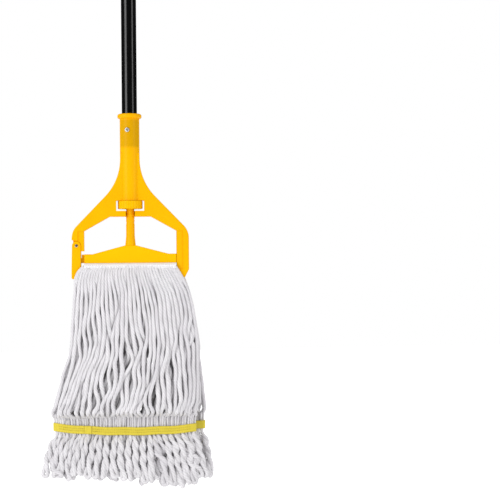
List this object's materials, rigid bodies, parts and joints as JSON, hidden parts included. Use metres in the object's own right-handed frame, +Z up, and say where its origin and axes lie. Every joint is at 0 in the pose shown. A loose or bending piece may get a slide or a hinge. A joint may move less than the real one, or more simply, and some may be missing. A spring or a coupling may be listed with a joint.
{
  "type": "string mop",
  "caption": "Wet string mop: black steel handle riveted into a yellow clamp head with screw press bar and side gate, holding a looped cotton yarn head with taped tail.",
  "frame": {"origin": "centre of the hanging hole in the handle's top cap; the mop hangs below it", "axes": "+Z up along the handle, +X to the viewer's right with the side gate on -X, front of the mop faces -Y, hanging hole along Y"},
  "size_m": [0.284, 0.08, 1.878],
  "materials": {
    "black_painted_steel": "gloss enamel",
    "black_cap_plastic": "satin",
    "rivet_aluminium": "satin",
    "mandrel_steel": "dull",
    "yellow_moulding": "moulded polypropylene, satin gloss",
    "orange_moulding": "moulded polypropylene, satin gloss",
    "plated_pin": "bright plated",
    "headband_canvas": "woven canvas",
    "stitching_white": "sewing thread",
    "cotton_yarn": "plied cotton blend",
    "yellow_tape": "woven tape",
    "stitching_yellow": "sewing thread"
  },
  "bodies": {
    "handle_and_head": {"handle_tube": "black_painted_steel", "hang_cap": "black_cap_plastic", "tube_rivet": "rivet_aluminium", "rivet_mandrel": "mandrel_steel", "head_frame": "yellow_moulding", "gate_pin": "plated_pin", "yarn_saddle": "cotton_yarn", "headband": "headband_canvas", "headband_stitching": "stitching_white", "yarn_front": "cotton_yarn", "yarn_back": "cotton_yarn", "fringe_front": "cotton_yarn", "fringe_back": "cotton_yarn", "tail_band_front": "yellow_tape", "tail_band_back": "yellow_tape", "tail_band_stitching": "stitching_yellow"},
    "thumb_wheel": {"thumb_wheel": "orange_moulding"},
    "press_bar": {"press_bar": "yellow_moulding"},
    "side_gate": {"gate": "yellow_moulding"}
  },
  "joints": [
    {"name": "wheel_turn", "type": "hinge", "parent": "handle_and_head", "child": "thumb_wheel", "pos_m": [0, 0, -1.391], "axis": [0, 0, -1], "range_deg": [0, 1081]},
    {"name": "press_slide", "type": "slide", "parent": "handle_and_head", "child": "press_bar", "axis": [0, 0, 1], "range_m": [0, 0.015]},
    {"name": "gate_hinge", "type": "hinge", "parent": "handle_and_head", "child": "side_gate", "pos_m": [-0.0902, 0, -1.4592], "axis": [0, 1, 0], "range_deg": [0, 95]}
  ],
  "couplings": [
    {"joint": "wheel_turn", "follows": "press_slide", "rad_per_m": 1256.6}
  ]
}
